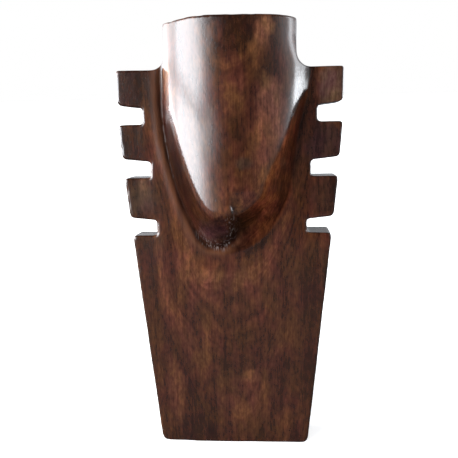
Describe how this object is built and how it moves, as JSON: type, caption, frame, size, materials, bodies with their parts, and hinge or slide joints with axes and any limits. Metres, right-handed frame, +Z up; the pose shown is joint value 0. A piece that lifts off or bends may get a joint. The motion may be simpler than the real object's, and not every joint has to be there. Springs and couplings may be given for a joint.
{
  "type": "necklace display bust",
  "caption": "Carved wooden necklace bust with a half-round neck, a V-shaped chest and notched sides, leaning back on a folding easel strut.",
  "frame": {"origin": "the middle of the bust's foot, on the table", "axes": "+Z up, +X to the right across the shoulders as seen from the front, -Y towards the carved front, +Y towards the strut"},
  "size_m": [0.189, 0.1291, 0.3658],
  "materials": {
    "stained_wood": "dark brown stain with orange-brown growth rings under a satin varnish",
    "strut_wood": "dark brown stain under a thin satin varnish, sawn and sanded",
    "hinge_brass": "lacquered brass plate, slightly tarnished",
    "pin_steel": "drawn wire with riveted ends",
    "screw_brass": "turned brass screws with cross slots"
  },
  "bodies": {
    "bust": {"bust_panel": "stained_wood", "hinge_leaf_bust": "hinge_brass", "hinge_pin": "pin_steel", "bust_leaf_screws": "screw_brass"},
    "strut": {"easel_strut": "strut_wood", "hinge_leaf_strut": "hinge_brass", "strut_leaf_screws": "screw_brass"}
  },
  "joints": [
    {"name": "strut_hinge", "type": "hinge", "parent": "bust", "child": "strut", "pos_m": [0, 0.04466, 0.21113], "axis": [1, 0, 0], "range_deg": [-20.5, 0]}
  ]
}
